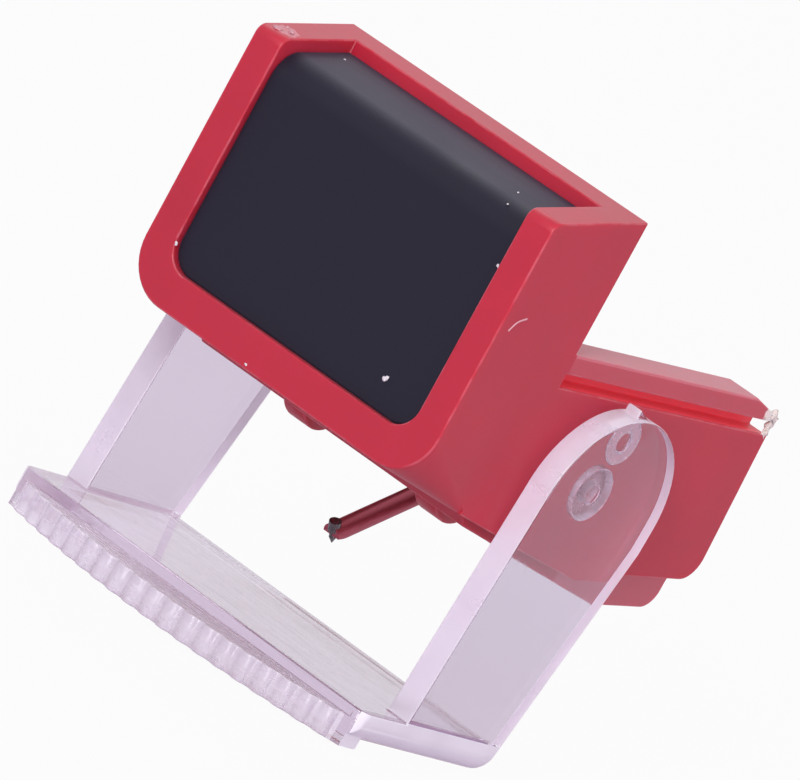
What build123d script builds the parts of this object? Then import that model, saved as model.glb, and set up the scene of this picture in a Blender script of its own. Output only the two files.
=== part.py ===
from build123d import *
import math
import os

# Plug-in stylus unit of a moving-magnet record pick-up.
# Frame: X to the right, Y from the front grip back to the pick-up body, Z up, millimetres.
# The origin lies on the rear face of the front hood, in the middle, level with the rail tops.

# Front hood
HOOD_WIDTH = 14.5
HOOD_DEPTH = 5.2
HOOD_RISE = 4.35
HOOD_DROP = 5.95
HOOD_TOP_SLOPE = 9.4
HOOD_CORNER = 1.9
SIDE_WALL = 1.25
BOTTOM_WALL = 1.4
BACK_WALL = 1.25
RIM_ROUND = 0.45
CORNER_RUN = 3.5

# Black inlay in the hood
INLAY_RECESS = 0.25
INLAY_BELOW_RIM = 0.48
INLAY_CORNER = 1.0
INLAY_TOP_ROUND = 1.1
INLAY_FIT = 0.02

# Cheeks that straddle the pick-up body, with their rails and grooves
CHEEK_LENGTH = 13.9
CHEEK_FLARE = 0.31
CHEEK_WALL = 1.47
CHEEK_LOW_AT = 5.6
CHEEK_LOW_DROP = 1.8
CHEEK_REAR_DROP = 1.15
CHEEK_REAR_ROUND = 1.0
SWEEP_RADIUS = 12.0
RAIL_HEIGHT = 0.75
RAIL_RAMP_LENGTH = 1.7
RAIL_RAMP_DROP = 0.5
GROOVE_HEIGHT = 0.5
GROOVE_DEPTH = 0.8

# Pan under the cheeks and the two pads below it
PAN_INSET = 1.0
PAN_FRONT_DROP = 1.25
PAN_LOW_DROP = 3.15
PAN_LOW_AT = 10.3
PAN_REAR_DROP = 2.85
PAN_REAR_ROUND = 0.8
FLOOR_LEVEL = 6.0
PAD_SPACING = 6.6
PAD_WIDTH = 1.1
PAD_RADIUS = 1.5
PAD_AT = 3.4
PAD_PROUD = 0.4

# Cantilever line and the suspension around it
STYLUS_ANGLE = 28.9
PIVOT_FROM_END = 3.9
PIVOT_DROP = 7.09
CANTILEVER_REACH = 7.8
CANTILEVER_TAIL = 0.9
CANTILEVER_DIAMETER = 0.74
CANTILEVER_WALL = 0.1
NOSE_LENGTH = 0.9
NOSE_THICKNESS = 0.42
TIP_SETBACK = 0.12
TIP_ABOVE = 0.5
TIP_BELOW = 0.43
TIP_CONE = 0.24
TIP_WIDTH = 0.28
BLOCK_WIDTH = 0.46
BLOCK_HEIGHT = 0.4
SLEEVE_DIAMETER = 3.0
SLEEVE_WALL = 0.35
SLEEVE_FRONT = 1.3
SLEEVE_REAR = 3.7
SLEEVE_FIT = 0.02
SLEEVE_PROUD = 0.2
DAMPER_LENGTH = 1.2
DAMPER_PLAY = 0.05
MAGNET_DIAMETER = 1.2
MAGNET_LENGTH = 1.9
MAGNET_GAP = 0.12
PLUG_THICKNESS = 0.6
WIRE_DIAMETER = 0.12
WIRE_PLAY = 0.1
BRIDGE_WIDTH = 5.2
BRIDGE_LENGTH = 3.2
BRIDGE_COVER = 0.8
SLOT_WIDTH = 3.0
SLOT_FRONT = 3.2

# Clear swinging guard
GUARD_THICKNESS = 1.02
GUARD_PLAY = 0.06
GUARD_LEAN = 3.0
ARM_PIVOT_AT = 3.75
ARM_PIVOT_DROP = 4.48
ARM_END_OFFSET = (0.49, -0.47)
ARM_RADIUS = 3.66
ARM_FRONT_LEAN = 0.43
ARM_REAR_TAPER = 1.68
ARM_STRAIGHT = 1.0
STRAP_DROP = 9.65
STRAP_THICKNESS = 1.2
STRAP_FORWARD = 6.35
STRAP_CORNER = 0.9
STRAP_FRONT_ROUND = 0.5
LIP_THICKNESS = 1.05
LIP_DROP = 0.25
LIP_BOW = 1.85
LIP_END_STEP = 0.3
RIB_PITCH = 0.85
RIB_DIAMETER = 0.9
RIB_PROUD = 0.14
PEG_DIAMETER = 2.0
PEG_LENGTH = 0.9
PEG_PLAY = 0.05
PEG_HOLE = 0.8
DETENT_OFFSET = (0.05, 2.12)
DETENT_DIAMETER = 1.7
DETENT_HEIGHT = 0.1
NIB_WIDTH = 0.8
NIB_HEIGHT = 0.38
NIB_THICKNESS = 0.65
NIB_ANGLE = 103.0

# Places worked out from the sizes above
hood_half = HOOD_WIDTH / 2
hood_low = -HOOD_DROP
hood_back_top = HOOD_RISE + HOOD_DEPTH * math.tan(math.radians(HOOD_TOP_SLOPE))
cheek_half_low = hood_half + CHEEK_FLARE
cheek_low = hood_low - CHEEK_LOW_DROP
channel_half = hood_half - CHEEK_WALL
pan_half = cheek_half_low - PAN_INSET
pan_low = hood_low - PAN_LOW_DROP
guard_inner = cheek_half_low + GUARD_PLAY
guard_outer = guard_inner + GUARD_THICKNESS
arm_front = ARM_END_OFFSET[0] - ARM_RADIUS
arm_rear = ARM_END_OFFSET[0] + ARM_RADIUS
strap_rear = arm_rear - ARM_REAR_TAPER
pad_half_spacing = PAD_SPACING / 2
pivot_at = CHEEK_LENGTH - PIVOT_FROM_END
bridge_front = pivot_at - SLEEVE_FRONT * math.cos(math.radians(STYLUS_ANGLE)) - SLEEVE_PROUD
bridge_back = bridge_front + BRIDGE_LENGTH
cantilever_radius = CANTILEVER_DIAMETER / 2
sleeve_radius = SLEEVE_DIAMETER / 2
sleeve_bore = sleeve_radius - SLEEVE_WALL
far = 4 * HOOD_WIDTH


def prism_across(points, half_width):
    """Solid of a side outline (y, z), across the part from -half_width to half_width."""
    outline = Plane.YZ * Polygon(*points, align=None)
    return extrude(outline, half_width, both=True)


def block(x_range, y_range, z_range):
    """Box between two corners."""
    size = [high - low for low, high in (x_range, y_range, z_range)]
    middle = [(high + low) / 2 for low, high in (x_range, y_range, z_range)]
    return Pos(*middle) * Box(*size)


def along_stylus(solid):
    """Turns a solid built on +Z, from the bearing towards the tip, onto the cantilever's line."""
    return Pos(0, pivot_at, -PIVOT_DROP) * Rot(90 + STYLUS_ANGLE, 0, 0) * solid


def rod(radius, start, end):
    """Cylinder on the Z axis from start to end."""
    return Pos(0, 0, start) * Cylinder(radius, end - start, align=(Align.CENTER, Align.CENTER, Align.MIN))


def tube(outer, inner, start, end):
    """Round tube on the Z axis from start to end."""
    return rod(outer, start, end) - rod(inner, start - 1, end + 1)


def hood_shell():
    """Front hood with a top that rises to the back and rounded front corners on its side walls."""
    slope = math.tan(math.radians(HOOD_TOP_SLOPE))
    side = [(-HOOD_DEPTH, hood_low), (0, hood_low), (0, hood_back_top), (-HOOD_DEPTH, HOOD_RISE)]
    solid = prism_across(side, hood_half)
    front_top = solid.edges().filter_by(Axis.X).sort_by(lambda edge: edge.center().Y * slope - edge.center().Z)
    front_top = [edge for edge in front_top if abs(edge.center().Y + HOOD_DEPTH) < RIM_ROUND]
    return fillet(front_top[0], RIM_ROUND)


def corner_tool(side):
    """What the rounded lower front corner lacks: full radius at the front, running out to the back."""
    drop = CHEEK_LOW_DROP * CORNER_RUN / (HOOD_DEPTH + CHEEK_LOW_AT)
    front = corner_gap(HOOD_CORNER, 0, 0)
    rear = corner_gap(HOOD_CORNER / 10, CORNER_RUN, drop)
    tool = loft([front, rear])
    return tool if side > 0 else mirror(tool, Plane.YZ)


def corner_gap(radius, behind, drop):
    """Curved triangle between a square corner and its rounding, in a plane across the part."""
    spare = 0.01 * HOOD_WIDTH
    x_out, z_out = hood_half + spare, hood_low - drop - spare
    x_in, z_in = hood_half - radius, hood_low - drop + radius
    bend = radius * math.sqrt(0.5)
    edges = [Line((x_in, z_out), (x_out, z_out)), Line((x_out, z_out), (x_out, z_in)),
             Line((x_out, z_in), (hood_half, z_in)),
             ThreePointArc((hood_half, z_in), (x_in + bend, z_in - bend), (x_in, z_in - radius)),
             Line((x_in, z_in - radius), (x_in, z_out))]
    return Plane.XZ.offset(HOOD_DEPTH - behind) * make_face(edges)


def hood_recess():
    """Pocket for the inlay, open at the front and the top."""
    width = HOOD_WIDTH - 2 * SIDE_WALL
    face = RectangleRounded(width, far, INLAY_CORNER)
    face = Plane.XZ * Pos(0, hood_low + BOTTOM_WALL + far / 2) * face
    depth = HOOD_DEPTH - BACK_WALL
    return Pos(0, -BACK_WALL, 0) * extrude(face, depth + 1)


def cheek_block():
    """Both cheeks and what joins them below, still solid between."""
    side = [(-HOOD_DEPTH, 0), (-HOOD_DEPTH, hood_low), (CHEEK_LOW_AT, cheek_low),
            (CHEEK_LENGTH, hood_low - CHEEK_REAR_DROP), (CHEEK_LENGTH, -RAIL_RAMP_DROP),
            (CHEEK_LENGTH - RAIL_RAMP_LENGTH, 0)]
    solid = prism_across(side, far)
    draft = Polygon((-hood_half, 0), (hood_half, 0), (cheek_half_low, cheek_low),
                    (-cheek_half_low, cheek_low), align=None)
    solid &= extrude(Plane.XZ * draft, far, both=True)
    solid &= extrude(sweep_outline(), far, both=True)
    rear = solid.edges().filter_by(Axis.X).filter_by_position(Axis.Y, CHEEK_LENGTH - 0.01, CHEEK_LENGTH + 0.01)
    return fillet(rear.sort_by(Axis.Z)[0], CHEEK_REAR_ROUND)


def sweep_outline():
    """Plan of the cheeks: level with the hood in front, then a hollow sweep outwards."""
    start = -HOOD_DEPTH / 2
    reach = hood_half + 2 * CHEEK_FLARE
    angle = math.acos(1 - 2 * CHEEK_FLARE / SWEEP_RADIUS)
    end = start + SWEEP_RADIUS * math.sin(angle)
    half = angle / 2
    middle = (hood_half + SWEEP_RADIUS * (1 - math.cos(half)), start + SWEEP_RADIUS * math.sin(half))
    right = [Line((0, -HOOD_DEPTH), (hood_half, -HOOD_DEPTH)),
             Line((hood_half, -HOOD_DEPTH), (hood_half, start)),
             ThreePointArc((hood_half, start), middle, (reach, end)),
             Line((reach, end), (reach, CHEEK_LENGTH)),
             Line((reach, CHEEK_LENGTH), (0, CHEEK_LENGTH)),
             Line((0, CHEEK_LENGTH), (0, -HOOD_DEPTH))]
    plan = make_face(right)
    return plan + mirror(plan, Plane.YZ)


def pan():
    """Shallow pan set in under the cheeks."""
    side = [(-SIDE_WALL, hood_low), (0, hood_low - PAN_FRONT_DROP), (PAN_LOW_AT, pan_low),
            (CHEEK_LENGTH, hood_low - PAN_REAR_DROP), (CHEEK_LENGTH, hood_low)]
    solid = prism_across(side, pan_half)
    rear = solid.edges().filter_by(Axis.X).filter_by_position(Axis.Y, CHEEK_LENGTH - 0.01, CHEEK_LENGTH + 0.01)
    return fillet(rear.sort_by(Axis.Z)[0], PAN_REAR_ROUND)


def pads():
    """Two rounded pads beside the cantilever."""
    slope = (PAN_LOW_DROP - PAN_FRONT_DROP) / PAN_LOW_AT
    level = hood_low - PAN_FRONT_DROP - slope * PAD_AT - PAD_PROUD
    pad = Rot(0, 90, 0) * Cylinder(PAD_RADIUS, PAD_WIDTH)
    place = Pos(0, PAD_AT, level + PAD_RADIUS)
    return [Pos(side * pad_half_spacing, 0, 0) * place * pad for side in (-1, 1)]


def bridge():
    """Block across the floor that carries the suspension sleeve."""
    lean = 0.5 * BRIDGE_LENGTH * math.tan(math.radians(STYLUS_ANGLE))
    top = -PIVOT_DROP + sleeve_radius + BRIDGE_COVER + lean
    half = BRIDGE_WIDTH / 2
    return block((-half, half), (bridge_front, bridge_back), (pan_low, top))


def groove(side):
    """Guide groove under a rail, open at the rear."""
    outer = cheek_half_low + 1
    inner = hood_half - GROOVE_DEPTH
    x_range = (inner, outer) if side > 0 else (-outer, -inner)
    low = -RAIL_HEIGHT - GROOVE_HEIGHT
    return block(x_range, (0, CHEEK_LENGTH + 1), (low, -RAIL_HEIGHT))


def peg_socket(side):
    """Blind bearing hole for a guard peg."""
    depth = PEG_LENGTH + GUARD_PLAY + PEG_PLAY
    hole = Rot(0, 90, 0) * Cylinder(PEG_DIAMETER / 2 + PEG_PLAY, 2 * depth)
    return Pos(side * guard_inner, ARM_PIVOT_AT, -ARM_PIVOT_DROP) * hole


def stylus_body():
    """Red moulding: hood, cheeks, rails, pan, pads and bridge in one piece."""
    solid = hood_shell() + cheek_block() + pan() + pads()
    solid -= block((-channel_half, channel_half), (0, CHEEK_LENGTH + 1), (-FLOOR_LEVEL, 1))
    half_slot = SLOT_WIDTH / 2
    solid -= block((-half_slot, half_slot), (SLOT_FRONT, bridge_front), (2 * pan_low, 0))
    solid += bridge()
    solid -= hood_recess()
    bore = rod(sleeve_radius + SLEEVE_FIT, -far / 4, SLEEVE_FRONT + far / 8)
    solid -= along_stylus(bore)
    for side in (-1, 1):
        solid -= corner_tool(side)
        solid -= groove(side)
        solid -= peg_socket(side)
    return solid


def front_inlay():
    """Black block in the hood: flat front, rounded top edge, top parallel to the rim."""
    width = HOOD_WIDTH - 2 * SIDE_WALL - 2 * INLAY_FIT
    low = hood_low + BOTTOM_WALL + INLAY_FIT
    face = RectangleRounded(width, far, INLAY_CORNER)
    face = Plane.XZ * Pos(0, low + far / 2) * face
    depth = HOOD_DEPTH - BACK_WALL - INLAY_RECESS - INLAY_FIT
    solid = Pos(0, -BACK_WALL - INLAY_FIT, 0) * extrude(face, depth)
    slope = math.tan(math.radians(HOOD_TOP_SLOPE))
    level = hood_back_top - INLAY_BELOW_RIM
    above = [(-HOOD_DEPTH - 1, level - slope * (HOOD_DEPTH + 1)), (1, level + slope),
             (1, far * 2), (-HOOD_DEPTH - 1, far * 2)]
    solid -= prism_across(above, far)
    front_edges = solid.edges().filter_by(Axis.X).sort_by(Axis.Y)
    return fillet(front_edges.sort_by(lambda edge: edge.center().Y - edge.center().Z)[0], INLAY_TOP_ROUND)


def guard_arm():
    """One flat arm that hangs from the pivot: round end, straight front, rear edge that tapers."""
    low = -STRAP_DROP - STRAP_THICKNESS
    level = ARM_END_OFFSET[1]
    outline = Polygon((arm_front, level), (arm_rear, level), (arm_rear, level - ARM_STRAIGHT),
                      (strap_rear, low), (arm_front - ARM_FRONT_LEAN, low), align=None)
    outline += Pos(*ARM_END_OFFSET) * Circle(ARM_RADIUS)
    return extrude(Plane.YZ * outline, GUARD_THICKNESS, dir=(1, 0, 0))


def guard_pegs():
    """Hollow pivot peg and shallow ring for the detent on the inner face of the right arm."""
    peg = Rot(0, -90, 0) * tube(PEG_DIAMETER / 2, PEG_HOLE / 2, 0, PEG_LENGTH)
    ring = Rot(0, -90, 0) * tube(DETENT_DIAMETER / 2, PEG_HOLE / 2, 0, DETENT_HEIGHT)
    return [Pos(guard_inner, 0, 0) * peg, Pos(guard_inner, *DETENT_OFFSET) * ring]


def guard_strap():
    """Floor of the guard, with rounded front corners."""
    low = -STRAP_DROP - STRAP_THICKNESS
    y_range = (-STRAP_FORWARD, strap_rear)
    strap = block((-guard_outer, guard_outer), y_range, (low, -STRAP_DROP))
    front_edges = strap.edges().filter_by(Axis.Z).sort_by(Axis.Y)[:2]
    return fillet(front_edges, STRAP_FRONT_ROUND)


def guard_envelope():
    """Front outline of the guard, drawn through from front to back: rounded where floor and arms meet."""
    tall = STRAP_DROP + STRAP_THICKNESS + 2 * ARM_RADIUS
    outline = RectangleRounded(2 * guard_outer, tall, STRAP_CORNER)
    outline = Pos(0, tall / 2 - STRAP_DROP - STRAP_THICKNESS) * outline
    return extrude(Plane.XZ * outline, far, both=True)


def guard_lip():
    """Bowed finger lip with ribs along its edge."""
    low = -STRAP_DROP - STRAP_THICKNESS
    lip_half = guard_outer - LIP_END_STEP
    lip_low = low - LIP_DROP
    root = -STRAP_FORWARD + LIP_THICKNESS
    left, right = (-lip_half, -STRAP_FORWARD), (lip_half, -STRAP_FORWARD)
    edge = ThreePointArc(left, (0, -STRAP_FORWARD - LIP_BOW), right)
    back = Polyline(right, (lip_half, root), (-lip_half, root), left)
    lip = extrude(Pos(0, 0, lip_low) * make_face([edge, back]), LIP_THICKNESS, dir=(0, 0, 1))
    count = int(edge.length / RIB_PITCH)
    ribs = []
    buried = RIB_DIAMETER / 2 - RIB_PROUD
    for number in range(1, count):
        point = edge.position_at(number / count)
        along = edge.tangent_at(number / count)
        rib = rod(RIB_DIAMETER / 2, lip_low, lip_low + LIP_THICKNESS)
        ribs.append(Pos(point.X - buried * along.Y, point.Y + buried * along.X, 0) * rib)
    return lip + ribs


def gate_nib():
    """Stub of the moulding runner on the right arm, snapped off to a point."""
    angle = math.radians(NIB_ANGLE)
    at = ARM_END_OFFSET[0] + ARM_RADIUS * math.cos(angle)
    top = ARM_END_OFFSET[1] + ARM_RADIUS * math.sin(angle)
    buried = top - NIB_HEIGHT
    outline = Polygon((at, buried), (at + NIB_WIDTH, buried), (at + NIB_WIDTH, top),
                      (at, top + NIB_HEIGHT), align=None)
    middle = guard_inner + GUARD_THICKNESS / 2
    return Pos(middle, 0, 0) * extrude(Plane.YZ * outline, NIB_THICKNESS / 2, both=True)


def stylus_guard():
    """Clear U that swings on two pegs."""
    arm = guard_arm()
    solid = guard_strap() + Pos(guard_inner, 0, 0) * arm + Pos(-guard_outer, 0, 0) * arm
    solid = (solid & guard_envelope()) + guard_lip()
    for right in guard_pegs():
        solid += right
        solid += mirror(right, Plane.YZ)
    solid += gate_nib()
    return Pos(0, ARM_PIVOT_AT, -ARM_PIVOT_DROP) * Rot(-GUARD_LEAN, 0, 0) * solid


def cantilever_tube():
    """Drawn tube whose nose is pressed thin from below and notched for the tip."""
    bore = cantilever_radius - CANTILEVER_WALL
    body = rod(cantilever_radius, -CANTILEVER_TAIL, CANTILEVER_REACH)
    body -= rod(bore, -CANTILEVER_TAIL - 1, CANTILEVER_REACH - NOSE_LENGTH)
    underside = cantilever_radius - NOSE_THICKNESS
    beyond = CANTILEVER_REACH + NOSE_LENGTH
    below = -CANTILEVER_DIAMETER
    pressed = Polygon((-cantilever_radius, CANTILEVER_REACH - NOSE_LENGTH), (below, CANTILEVER_REACH),
                      (below, beyond), (underside, beyond), (underside, CANTILEVER_REACH), align=None)
    body -= extrude(Plane.YZ * pressed, CANTILEVER_DIAMETER, both=True)
    return along_stylus(body - needle())


def needle():
    """Tip at the tube's nose: bonded block on top, thin shank, cone below."""
    straight = TIP_BELOW - TIP_CONE
    block_end = BLOCK_HEIGHT - TIP_ABOVE
    solid = rod(BLOCK_WIDTH / 2, -TIP_ABOVE, block_end) + rod(TIP_WIDTH / 2, block_end, straight)
    cone = Cone(TIP_WIDTH / 2, TIP_WIDTH / 15, TIP_CONE, align=(Align.CENTER, Align.CENTER, Align.MIN))
    solid += Pos(0, 0, straight) * cone
    return Pos(0, 0, CANTILEVER_REACH - TIP_SETBACK) * Rot(90, 0, 0) * solid


def stylus_tip():
    """Needle set in the nose of the tube, pointing down at the record."""
    return along_stylus(needle())


def suspension():
    """Sleeve, rubber bearing, magnet, end plug and tie wire, on the cantilever's line."""
    sleeve = tube(sleeve_radius, sleeve_bore, -SLEEVE_REAR, SLEEVE_FRONT)
    half = DAMPER_LENGTH / 2
    damper = tube(sleeve_bore - DAMPER_PLAY, cantilever_radius + DAMPER_PLAY, -half, half)
    magnet_front = -half - MAGNET_GAP
    magnet_back = magnet_front - MAGNET_LENGTH
    magnet = rod(MAGNET_DIAMETER / 2, magnet_back, magnet_front)
    magnet -= rod(cantilever_radius, -CANTILEVER_TAIL, 0)
    plug = rod(sleeve_bore - SLEEVE_FIT, -SLEEVE_REAR, -SLEEVE_REAR + PLUG_THICKNESS)
    plug -= rod(WIRE_DIAMETER / 2, -SLEEVE_REAR - 1, 0)
    wire = rod(WIRE_DIAMETER / 2, -SLEEVE_REAR, magnet_back - WIRE_PLAY)
    names = ("suspension_sleeve", "damper_ring", "armature_magnet", "sleeve_plug", "tie_wire")
    return {name: along_stylus(piece) for name, piece in zip(names, (sleeve, damper, magnet, plug, wire))}


def pieces():
    """Every piece of the unit by its name."""
    found = {"stylus_body": stylus_body(), "front_inlay": front_inlay(), "stylus_guard": stylus_guard(),
             "cantilever_tube": cantilever_tube(), "stylus_tip": stylus_tip()}
    found.update(suspension())
    return found


os.makedirs("parts", exist_ok=True)
for node, shape in pieces().items():
    export_step(shape, f"parts/{node}.step")
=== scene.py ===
import math

import bmesh
import bpy
from mathutils import Matrix, Vector


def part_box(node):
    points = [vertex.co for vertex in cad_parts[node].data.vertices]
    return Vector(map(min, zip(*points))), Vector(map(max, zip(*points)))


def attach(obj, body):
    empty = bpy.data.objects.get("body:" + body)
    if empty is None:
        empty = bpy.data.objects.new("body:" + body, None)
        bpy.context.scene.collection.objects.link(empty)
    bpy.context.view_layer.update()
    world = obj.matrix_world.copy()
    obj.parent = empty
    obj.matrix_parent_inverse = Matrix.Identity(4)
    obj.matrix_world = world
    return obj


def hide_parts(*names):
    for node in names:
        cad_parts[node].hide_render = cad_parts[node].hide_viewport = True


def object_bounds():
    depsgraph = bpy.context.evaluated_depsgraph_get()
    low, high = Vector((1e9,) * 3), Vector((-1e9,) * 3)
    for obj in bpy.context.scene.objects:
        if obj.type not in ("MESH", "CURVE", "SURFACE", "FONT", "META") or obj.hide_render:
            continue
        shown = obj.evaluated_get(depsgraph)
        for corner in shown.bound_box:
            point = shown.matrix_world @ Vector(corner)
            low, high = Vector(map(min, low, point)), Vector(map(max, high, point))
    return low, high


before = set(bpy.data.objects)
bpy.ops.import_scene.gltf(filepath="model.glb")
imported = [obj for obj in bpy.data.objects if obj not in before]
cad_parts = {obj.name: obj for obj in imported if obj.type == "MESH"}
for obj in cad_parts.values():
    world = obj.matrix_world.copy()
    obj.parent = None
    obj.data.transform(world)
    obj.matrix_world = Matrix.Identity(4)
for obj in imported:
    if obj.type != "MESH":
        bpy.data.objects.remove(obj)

bl_info = {
    "name": "Record Player Stylus Unit",
    "version": (1, 0, 0),
    "blender": (4, 5, 0),
    "location": "3D View > Sidebar > Stylus",
    "description": "Finishes the red stylus unit with its black inlay and clear swinging guard",
    "category": "Object",
}

# Sizes are in metres, with MM for the small ones. X is right, Y is back, Z is up.
MM = 0.001
CAD_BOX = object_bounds()
FLOOR_LEVEL = CAD_BOX[0][2]

# Edges sharper than this are rounded, and flatter joints than this are one face.
SHARP_ANGLE = math.radians(28.0)
FLAT_ANGLE = math.radians(0.05)
WELD_REACH = 0.002 * MM
# The hood's lower corners run out into the cheeks here, and their edges fade without a round.
CORNER_RUN = (-3.4 * MM, -1.5 * MM)
CORNER_TOP = -5.2 * MM
CORNER_OUT = 6.0 * MM

# The cantilever and the parts around it lean down to the front by this much.
STYLUS_LEAN = math.radians(28.9)

# Parts of the guard: the lip lies in front of LIP_FRONT, the arms outside ARM_INNER.
GUARD_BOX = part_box("stylus_guard")
LIP_DEPTH = 1.9 * MM
LIP_FRONT = GUARD_BOX[0][1] + LIP_DEPTH
# The lip runs out to a sliver at both ends, too thin there for a rounded edge.
LIP_END = 7.85 * MM
LIP_ROOT = -2.0 * MM
LIP_TOP = -14.1 * MM
ARM_THICKNESS = 1.02 * MM
ARM_INNER = GUARD_BOX[1][0] - ARM_THICKNESS
# The guard hangs a little back from upright, so its floor slopes; both rings are on the arms' inside.
GUARD_LEAN = math.radians(3.0)
GUARD_UP = Vector((0, math.sin(GUARD_LEAN), math.cos(GUARD_LEAN)))
GUARD_PIVOT = Vector((0, 3.75, -4.48)) * MM
GUARD_DROP = 9.6 * MM
GUARD_FLOOR = GUARD_PIVOT - GUARD_DROP * GUARD_UP
RING_SPACING = 2.12 * MM
GUARD_RINGS = (GUARD_PIVOT, GUARD_PIVOT + RING_SPACING * GUARD_UP)
RING_REACH = 1.1 * MM
RING_PROUD = 0.03 * MM

# How frosted the guard's parts are, from 0 for clear to 1 for matt white.
LIP_FROST = 0.44
EDGE_FROST = 0.58
RING_FROST = 0.46
FULL_FROST = 1.0
# How squarely a face of the guard points out or back if it is an arm's broad side, an end of the floor
# or an arm's rear edge.
BROAD_FACING = 0.75
END_FACING = 0.5
REAR_FACING = 0.3
# Light that has bounced this often inside the clear plastic leaves it straight on.
CLEAR_BOUNCES = 4.0
# How fast the clear plastic takes on its colour with depth, per metre.
CLEAR_DENSITY = 110.0

# Zones of the red body, as boxes of its right half that hold for the left half too:
# the rails' tops and sides, the rear of the pan, and the grooves under the rails, whose walls are thin.
RAIL_TOPS = (Vector((5.0, 0.05, -0.1)) * MM, Vector((8.0, 14.0, 0.2)) * MM)
RAIL_SIDES = (Vector((5.0, 0.05, -0.78)) * MM, Vector((8.0, 14.0, -0.1)) * MM)
PAN_REAR = (Vector((-0.1, 6.0, -9.5)) * MM, Vector((6.7, 14.5, -6.3)) * MM)
GROOVES = (Vector((6.3, -0.1, -1.28)) * MM, Vector((7.22, 14.0, -0.72)) * MM)
# How far each zone goes over to its own colour: a pale painted sheen on the rails and the rear of the pan,
# and a painted glow in the grooves, brighter red for light that comes through their thin walls.
RAIL_TOP_PAINTED_SHEEN = 0.36
RAIL_SIDE_PAINTED_SHEEN = 0.12
PAN_PAINTED_SHEEN = 0.24
GROOVE_PAINTED_GLOW = 0.9
# How pale the body's rounded edges are rubbed, and how far the worst of it reaches from the rear.
EDGE_RUB = 0.16
REAR_RUB = 0.8
REAR_REACH = 0.6 * MM

# Where the moulding was broken off its runner, on top of the left wall.
GATE_SCAR = Vector((-6.6, -4.4, 4.5)) * MM
# The chipped rear end of the right rail and groove.
CHIPPED_RAIL = Vector((7.15, 13.75, -0.6)) * MM
# Ends and bend of a short scratch on the right wall of the hood.
SCRATCH = (
    Vector((7.25, -4.66, 0.29)) * MM,
    Vector((7.25, -4.40, 0.66)) * MM,
    Vector((7.25, -3.97, 0.86)) * MM,
)
# Crumbs and flakes are longer than wide, and flat.
CRUMB_SHAPE = (1.0, 0.8, 0.5)
# Which way the surface faces under them: the hood's front, its sloping top, or the side of a rail.
FRONT = Vector((0, -1, 0))
UP = Vector((0, -0.16, 0.99))
OUTWARD = Vector((1, 0, 0))
# Dust: where each flake lies, which way the surface faces there, and its share of the full size.
DUST = (
    (Vector((4.06, -4.95, -3.42)) * MM, FRONT, 0.85),
    (Vector((5.84, -4.95, 1.99)) * MM, FRONT, 0.45),
    (Vector((-5.93, -5.2, -3.72)) * MM, FRONT, 0.5),
    (Vector((-1.04, -5.2, -5.78)) * MM, FRONT, 0.4),
    (Vector((4.19, -3.43, 4.18)) * MM, UP, 0.36),
    (Vector((4.75, -4.55, 3.86)) * MM, UP, 0.34),
    (Vector((-5.4, -2.2, 4.38)) * MM, UP, 0.3),
)
# Torn crumbs around the gate scar and pale chips at the end of the rail, in the same way.
GATE_CRUMBS = (
    (Vector((-6.75, -4.75, 4.43)) * MM, UP, 0.9),
    (Vector((-6.45, -4.35, 4.50)) * MM, UP, 0.8),
    (Vector((-6.85, -4.10, 4.53)) * MM, UP, 0.6),
)
RAIL_CHIPS = (
    (Vector((7.20, 13.80, -0.55)) * MM, OUTWARD, 1.0),
    (Vector((7.15, 13.86, -0.95)) * MM, OUTWARD, 0.9),
    (Vector((7.22, 13.75, -1.25)) * MM, OUTWARD, 0.7),
)

# Blender's wave texture turns by this many radians per unit of its own scale.
WAVE_RATE = 20.0

# How white the floor and the room look to the camera, to a mirror and through clear plastic.
FLOOR_WHITE = (0.95, 0.4, 0.08)
ROOM_WHITE = (1.0, 0.5, 0.7)
# Half the floor's width, and how far it lies below the guard.
FLOOR_HALF = 0.9
FLOOR_GAP = 0.02 * MM
# Width and place of each lamp.
KEY_LAMP = (0.1, Vector((0.086, -0.322, 0.162)))
LOW_LAMP = (0.1, Vector((0.15, -0.31, 0.002)))
SIDE_LAMP = (0.2, Vector((0.36, -0.02, 0.1)))
UPPER_LAMP = (0.2, Vector((-0.2, 0.14, 0.26)))


def linear(code):
    """A colour written as sRGB hex, as the linear values that shaders take."""
    parts = [int(code[i:i + 2], 16) / 255 for i in (0, 2, 4)]
    return [p / 12.92 if p <= 0.04045 else ((p + 0.055) / 1.055) ** 2.4 for p in parts]


def per_mm(size):
    """A texture scale whose features are about this many millimetres across."""
    return 1 / (size * MM)


def add(tree, kind, inputs=None, **settings):
    """Adds one node, applies its settings, and sets or links its inputs."""
    node = tree.nodes.new(kind)
    for name, value in settings.items():
        setattr(node, name, value)
    for name, value in (inputs or {}).items():
        if isinstance(value, bpy.types.NodeSocket):
            tree.links.new(value, node.inputs[name])
        else:
            node.inputs[name].default_value = value
    return node


def new_material(name):
    """An empty node material with one Principled shader wired to its output."""
    material = bpy.data.materials.new(name)
    material.use_nodes = True
    tree = material.node_tree
    tree.nodes.clear()
    shader = add(tree, "ShaderNodeBsdfPrincipled")
    add(tree, "ShaderNodeOutputMaterial", {"Surface": shader.outputs["BSDF"]})
    return material, tree, shader


# Materials


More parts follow.
